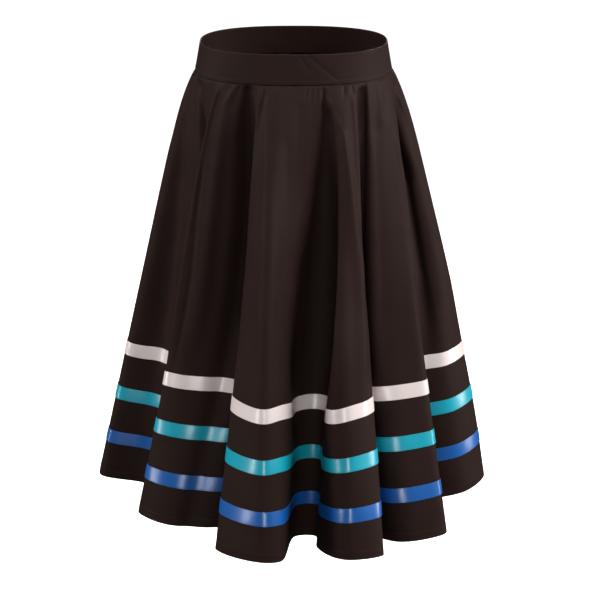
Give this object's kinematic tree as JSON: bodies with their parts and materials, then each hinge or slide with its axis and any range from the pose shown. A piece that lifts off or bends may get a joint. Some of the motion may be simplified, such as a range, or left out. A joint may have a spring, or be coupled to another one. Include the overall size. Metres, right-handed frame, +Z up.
{
  "type": "flared skirt with ribbon trim",
  "caption": "Calf-length flared circle-cut skirt on a plain waistband, falling in deep cone folds, with satin ribbons sewn round above the hem; filled out as it hangs on a waist.",
  "frame": {"origin": "middle of the waist opening, half way up the waistband, where the wearer's waist holds the skirt", "axes": "+Z up along the wearer; the skirt's front faces -Y; +X is the wearer's left, where the zip is"},
  "size_m": [0.5373, 0.5131, 0.6326],
  "materials": {
    "cloth": "matt black plain-weave cotton blend",
    "white_ribbon": "white satin ribbon",
    "turquoise_ribbon": "turquoise satin ribbon",
    "blue_ribbon": "royal blue satin ribbon",
    "zip": "black woven zip tape"
  },
  "bodies": {
    "root": {"skirt_front": "cloth", "skirt_back": "cloth", "waistband": "cloth", "ribbon_white_front": "white_ribbon", "ribbon_white_back": "white_ribbon", "ribbon_turquoise_front": "turquoise_ribbon", "ribbon_turquoise_back": "turquoise_ribbon", "ribbon_blue_front": "blue_ribbon", "ribbon_blue_back": "blue_ribbon", "zip_tape": "zip"}
  },
  "joints": []
}
